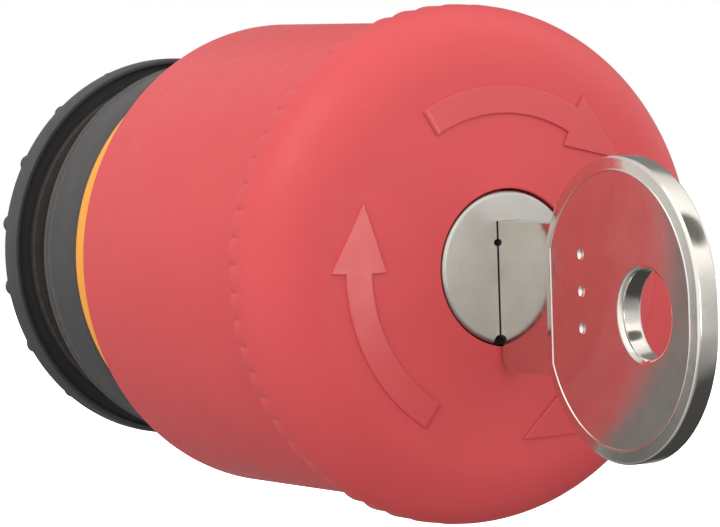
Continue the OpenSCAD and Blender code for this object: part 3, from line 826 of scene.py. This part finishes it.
def thread_cut(angle, z, start, end):
    """Depth of the right-handed thread at a point, which fades in at both ends."""
    root_share, flank_share, run_in, run_out = 0.07, 0.36, 0.7, 0.9
    phase = (z / THREAD_PITCH - angle / 360) % 1
    flank = clamp((abs(phase - 0.5) - root_share) / flank_share)
    fade = clamp((start - z) / run_in) * clamp((z - end) / run_out)
    return THREAD_DEPTH * (1 - flank) * fade


def groove_angles(count, half_w, radius):
    """Even angles with extra ones at the walls of the locating groove, which is at the top."""
    wall = math.degrees(math.asin(half_w / radius))
    extra = [90 - wall - 0.02, 90 - wall, 90 + wall, 90 + wall + 0.02]
    plain = [a for a in even_angles(count) if min(abs(a - e) for e in extra) > 0.4]
    return sorted(plain + extra)


def neck():
    """Threaded neck with its flange, locating groove, guide bore, latch groove and web."""
    plain_end = -4.11
    thread_end = NECK_REAR + 0.7
    chamfer, mouth_r, rear_bore_r = 0.35, 9.5, 9.3
    seal_bore_r, seal_bore_h, guide_r = 10.2, 21, 9.0
    latch_groove_r, latch_groove_front, latch_groove_rear = 10.0, 10.8, 6.5
    web_bore_r, web_front, web_rear = 6.5, -6, -12

    def shape(angle, r, z):
        outside = abs(r - NECK_R) < 0.01 and z < 0
        if not outside:
            return r, z
        r -= thread_cut(angle, z, plain_end, thread_end)
        off = math.radians(angle - 90)
        if abs(r * math.sin(off)) < GROOVE_HALF_W + 0.001 and abs(off) < 1:
            r = min(r, (NECK_R - GROOVE_DEPTH) / math.cos(off))
        return r, z

    steps = 60
    run = plain_end - NECK_REAR - chamfer
    side = [(NECK_R, NECK_REAR + chamfer + run * i / steps) for i in range(steps + 1)]
    section = [(mouth_r, NECK_REAR), (NECK_R - chamfer, NECK_REAR)] + side
    section += [(NECK_R, -0.01), (NECK_R + 0.3, 0), (NECK_R + 0.3, SEAL_T)]
    section += rounded([
        (NECK_R + 0.3, SEAL_T, 0), (FLANGE_R, SEAL_T, 0.1), (FLANGE_R, FLANGE_H, 0.1),
        (NECK_R, FLANGE_H, 0.3), (NECK_R, NECK_FRONT, 0.3), (seal_bore_r, NECK_FRONT, 0.1),
        (seal_bore_r, seal_bore_h, 0), (guide_r, seal_bore_h, 0.1), (guide_r, latch_groove_front, 0.1),
        (latch_groove_r, latch_groove_front, 0), (latch_groove_r, latch_groove_rear, 0),
        (guide_r, latch_groove_rear, 0.1), (guide_r, web_front, 0.3), (web_bore_r, web_front, 0.2),
        (web_bore_r, web_rear, 0.2), (rear_bore_r, web_rear, 0.3), (rear_bore_r, NECK_REAR, 0.2),
        (mouth_r + 0.1, NECK_REAR, 0),
    ], 4, closed=False)[1:-1]
    piece = turned("neck", section, groove_angles(216, GROOVE_HALF_W, NECK_R), shape, 35)
    fit(piece, "housing", "black_plastic", stands_for=["threaded_neck"])


def washer():
    """Washer with a tab that runs in the neck's groove."""
    inner = NUT_BORE_R
    tab_half_w = 0.95
    tab_r = NECK_R - GROOVE_DEPTH + 0.12

    def shape(angle, r, z):
        off = math.radians(angle - 90)
        if r < inner + 0.2 and abs(off) < 1 and abs(inner * math.sin(off)) < tab_half_w + 0.001:
            r = tab_r / math.cos(off) + (r - inner)
        return r, z

    section = rounded([
        (inner, WASHER_REAR, 0.08), (WASHER_R, WASHER_REAR, 0.15), (WASHER_R, WASHER_FRONT, 0.15),
        (inner, WASHER_FRONT, 0.08),
    ], 4)
    piece = turned("washer", section, groove_angles(216, tab_half_w, inner), shape)
    fit(piece, "nut_washer", "black_rubber", stands_for=["thrust_washer"])


def nut():
    """Ring nut: a smooth front ring, rounded grip bumps behind it, a hub, a recess and its thread."""
    pitch = 360 / NUT_BUMPS
    foot_blend = 0.004

    def shape(angle, r, z):
        if abs(r - NUT_BORE_R) < 0.01:
            return r + 0.8 * thread_cut(angle, z, WASHER_REAR - 0.2, NUT_REAR + 0.2), z
        gripped = NUT_HUB_R + 0.5 < r < BUMP_CIRCLE_R + 0.01 and z < NUT_STEP + 0.01
        if gripped:
            off = math.radians((angle + pitch) % pitch - pitch / 2)
            reach = BUMP_R**2 - (BUMP_CIRCLE_R * math.sin(off)) ** 2
            bulge = BUMP_CIRCLE_R * (math.cos(off) - 1) + math.sqrt(reach) - BUMP_SINK if reach > 0 else -1
            lift = 0.5 * (bulge + math.sqrt(bulge**2 + foot_blend))
            r += lift * clamp((r - BUMP_CIRCLE_R + 0.3) / 0.25)
        return r, z

    bore_steps = 30
    first = NUT_RECESS_H - 0.15
    bore = [(NUT_BORE_R, first + (NUT_REAR + 0.15 - first) * i / bore_steps) for i in range(bore_steps + 1)]
    section = rounded([
        (NUT_BORE_R + 0.3, NUT_REAR, 0), (NUT_HUB_R, NUT_REAR, 0.4), (NUT_HUB_R, BUMP_REAR, 0.2),
        (BUMP_CIRCLE_R, BUMP_REAR, 0.2), (BUMP_CIRCLE_R, NUT_STEP, 0), (NUT_R, NUT_STEP, 0.06),
        (NUT_R, NUT_FRONT, 0.15), (NUT_RECESS_R, NUT_FRONT, 0.1), (NUT_RECESS_R, NUT_RECESS_H, 0.1),
        (NUT_BORE_R + 0.3, NUT_RECESS_H, 0),
    ], 5, closed=False)
    piece = turned("nut", section + bore, even_angles(NUT_BUMPS * 20), shape, 35)
    fit(piece, "nut", "black_plastic", stands_for=["ring_nut"])


def spring_height(t, turns, length, wire_r):
    """Height of the wire after t turns: the first and last turns lie close together."""
    closed = 2.4 * wire_r / (length - 2 * wire_r)
    u, dead = t / turns, 1 / turns
    if u < dead:
        share = closed * u / dead
    elif u > 1 - dead:
        share = 1 - closed * (1 - u) / dead
    else:
        share = closed + (1 - 2 * closed) * (u - dead) / (1 - 2 * dead)
    return wire_r + (length - 2 * wire_r) * share


def head_spring():
    """Spring under the head."""
    low, high = rear("return_spring"), front("return_spring")
    wire_r, turns, steps, radius = 0.5, 7, 48, 12.1
    path = []
    for i in range(turns * steps + 1):
        a = 2 * math.pi * i / steps
        height = low + spring_height(i / steps, turns, high - low, wire_r)
        path.append((radius * math.cos(a), radius * math.sin(a), height))
    piece = fit(coil("head_spring", path, wire_r), "housing", "spring_steel", stands_for=["return_spring"])
    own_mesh(piece)


def pawl_spring():
    """Spring between the two pawls."""
    high = outer_radius("latch_spring")
    middle = (front("latch_spring") + rear("latch_spring")) / 2
    wire_r, turns, steps, radius = 0.22, 5, 24, 1.25
    path = []
    for i in range(turns * steps + 1):
        a = 2 * math.pi * i / steps
        along = -high + spring_height(i / steps, turns, 2 * high, wire_r)
        path.append((along, radius * math.sin(a), middle + radius * math.cos(a)))
    piece = fit(coil("pawl_spring", path, wire_r, 8), "head", "spring_steel", stands_for=["latch_spring"])
    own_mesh(piece)


# ---------------------------------------------------------------- lock and key

def plug():
    """Lock plug with its keyway, its wafer slots and the two small notches at the slot's ends."""
    barrel_r, head_rear, barrel_rear = 4.93, 41.6, 18.75
    face_r = PLUG_R - 0.06
    slot, slot_half_h, slot_gap, past = SLOT_HALF_W, 3.4, 0.004, 1
    keyway_rear, mouth_rear, mouth_low_y = 22, 42.9, -5.05
    wafer_half_w, wafer_half_t, wafer_reach = 3.03, 0.45, 6
    notch_rear, notch_front = 42.2, 46
    section = rounded([
        (0, barrel_rear, 0), (barrel_r, barrel_rear, 0.1), (barrel_r, head_rear, 0), (face_r, head_rear, 0.1),
        (face_r, PLUG_FRONT, 0.34), (0, PLUG_FRONT, 0),
    ], 6)
    piece = turned("plug", section, even_angles(180))
    cutters = [
        block((-slot, -slot_half_h, keyway_rear), (slot, slot_half_h, PLUG_FRONT + past)),
        block((-slot, mouth_low_y, mouth_rear), (slot, slot_half_h + slot_gap, PLUG_FRONT + past)),
    ]
    for h in WAFER_HEIGHTS:
        low = (-wafer_half_w, -wafer_reach, h - wafer_half_t)
        cutters.append(block(low, (wafer_half_w, wafer_reach, h + wafer_half_t)))
    for radius, y in ((0.45, -5.25), (0.25, 1.85)):
        outline = [(0, notch_rear), (radius, notch_rear), (radius, notch_front), (0, notch_front)]
        notch = turned("notch", outline, even_angles(24))
        notch.data.transform(Matrix.Translation(world((-slot, y, 0))))
        cutters.append(notch)
    carve(piece, cutters)
    soften(piece, 0.06, 40)
    fit(piece, "plug", "lock_nickel", stands_for=["lock_plug"])


def bow_ring(inset, corner, x):
    """The bow's outline moved inwards: two round ends, with a flat towards the lock and rounded corners."""
    radius, flat = BOW_R - inset, BOW_FLAT_H + inset
    fillet = max(corner - inset, 0.03)
    reach = math.sqrt((radius - fillet) ** 2 - (flat + fillet - BOW_H) ** 2)
    tangent = math.degrees(math.atan2(flat + fillet - BOW_H, reach))
    low, high = BOW_Y - BOW_HALF_STRETCH, BOW_Y + BOW_HALF_STRETCH
    points = arc((high, BOW_H), radius, tangent, 90, 75) + arc((low, BOW_H), radius, 90, 180 - tangent, 75)
    points += arc((low - reach, flat + fillet), fillet, 180 - tangent, 270, 8)[1:]
    points += [(low - reach + (high - low + 2 * reach) * i / 20, flat) for i in range(1, 20)]
    points += arc((high + reach, flat + fillet), fillet, 270, 360 + tangent, 8)[:-1]
    return [(x, y, z) for y, z in points]


def key_bow():
    """Coined bow: a fine bead round the flat face, a border that slopes to the edge, and a rounded hole."""
    bead_at, bead_r, bead_rise = 1.0, 0.1, 0.06
    corner_r, corner_x = 0.22, 0.62
    face_x = KEY_HALF_T - bead_rise
    section = [
        (bead_at + bead_r * math.cos(math.radians(a)), face_x + bead_rise * math.sin(math.radians(a)))
        for a in range(0, 181, 20)
    ]
    section += [
        (corner_r * (1 - math.sin(math.radians(a))), corner_x + corner_r * math.cos(math.radians(a)))
        for a in range(0, 91, 15)
    ]
    hole_round = 0.38
    hole = arc((KEY_HOLE_R + hole_round, face_x - hole_round), hole_round, 180, 90, 6)
    outline_corner = 1.1
    rings = [bow_ring(d, outline_corner, -x) for d, x in section]
    rings += [bow_ring(d, outline_corner, x) for d, x in reversed(section)]
    middle = (KEY_HOLE_Y, KEY_HOLE_H)
    face = rings[0]
    directions = [(Vector(p[1:]) - Vector(middle)).normalized() for p in face]

    def hole_ring(radius, x):
        return [(x, middle[0] + radius * d.x, middle[1] + radius * d.y) for d in directions]

    rings += [hole_ring(r, x) for r, x in reversed(hole)]
    rings += [hole_ring(r, -x) for r, x in hole]
    n, m = len(face), len(rings)
    points = [p for ring in rings for p in ring]
    faces = [
        (i * n + k, i * n + (k + 1) % n, (i + 1) % m * n + (k + 1) % n, (i + 1) % m * n + k)
        for i in range(m) for k in range(n)
    ]
    return mesh_piece("key", points, faces, 14)


def blade_outline():
    """Blade outline (y, z), from the root at the bow down one edge, round the tip and back."""
    half_h, tip = 3.3, rear("key")

    def cuts(side, heights):
        points = []
        for index, h in heights:
            depth = 0.5 + 0.3 * ((index * 2 + (1 if side > 0 else 0)) % 3)
            run = 0.6 + depth
            step = 1 if heights[0][0] < heights[-1][0] else -1
            for level, inset in ((-run, 0), (-0.6, depth), (0.6, depth), (run, 0)):
                points.append((side * (half_h - inset), h + step * level))
        return points

    order = list(enumerate(WAFER_HEIGHTS))
    root_h, shoulder_h, neck_h = BOW_FLAT_H + 1.3, PLUG_FRONT + 0.2, 43.0
    low_y, top_y, shoulder_y, relief_y, relief_r = -7.4, 3.4, -5.0, -5.25, 0.36
    shoulder_round = 1.3
    outline = [(low_y, root_h)]
    outline += arc((low_y + shoulder_round, shoulder_h + shoulder_round), shoulder_round, 180, 270, 10)
    outline += arc((relief_y, shoulder_h), relief_r, 180, 48, 8)
    outline += [(shoulder_y, shoulder_h - 0.1), (shoulder_y, neck_h), (-half_h, neck_h)]
    outline += cuts(-1, order[::-1])
    outline += [(-half_h, tip + 2), (-1, tip), (1, tip), (half_h, tip + 2)]
    outline += cuts(1, order)
    return outline + [(half_h, neck_h), (top_y, neck_h), (top_y, root_h)]


def key():
    """Key: the coined bow and its blade in one piece, with three small marks where a code would be."""
    piece = key_bow()
    blade = prism("blade", blade_outline(), BLADE_HALF_T)
    soften(blade, 0.06, 30)
    carve(piece, [blade], "UNION", 14)
    marks = []
    mark_y, mark_pitch, mark_h = -1.2, 2.6, BOW_FLAT_H + 5
    mark_r, mark_sink = 0.6, 0.36
    for i in (-1, 0, 1):
        section = arc((0, 0), mark_r, -90, 90, 10)
        ball = turned("mark", [(0.0, -mark_r)] + section[1:-1] + [(0.0, mark_r)], even_angles(24))
        centre = (-KEY_HALF_T - mark_sink, mark_y + mark_pitch * i, mark_h)
        ball.data.transform(Matrix.Translation(world(centre)))
        marks.append(ball)
    carve(piece, marks, "DIFFERENCE", 14)
    flatten(piece, 0)
    fit(piece, "key", "key_nickel", stands_for=["key"])


# ---------------------------------------------------------------- CAD nodes that stay

def finish_cad_nodes():
    """The pieces inside keep their CAD shape and get their slot's material."""
    slots = {row["node"]: row["material_slot"] for row in frame["record"]["subparts"]}
    for name, node in nodes.items():
        node.data.materials.clear()
        node.data.materials.append(MATERIALS[slots[name]])


make_camera()
make_world()
make_floor()
make_light("key_light", (-0.62, -0.12, 0.72), 0.6, 2.6, (1, 0.99, 0.97))

finish_cad_nodes()
mushroom_head()
for index in range(3):
    turning_arrow(f"turning_arrow_{index + 1}", -120 * index)
skirt()
plunger()
bezel()
collar()
seal()
neck()
washer()
nut()
head_spring()
pawl_spring()
plug()
key()
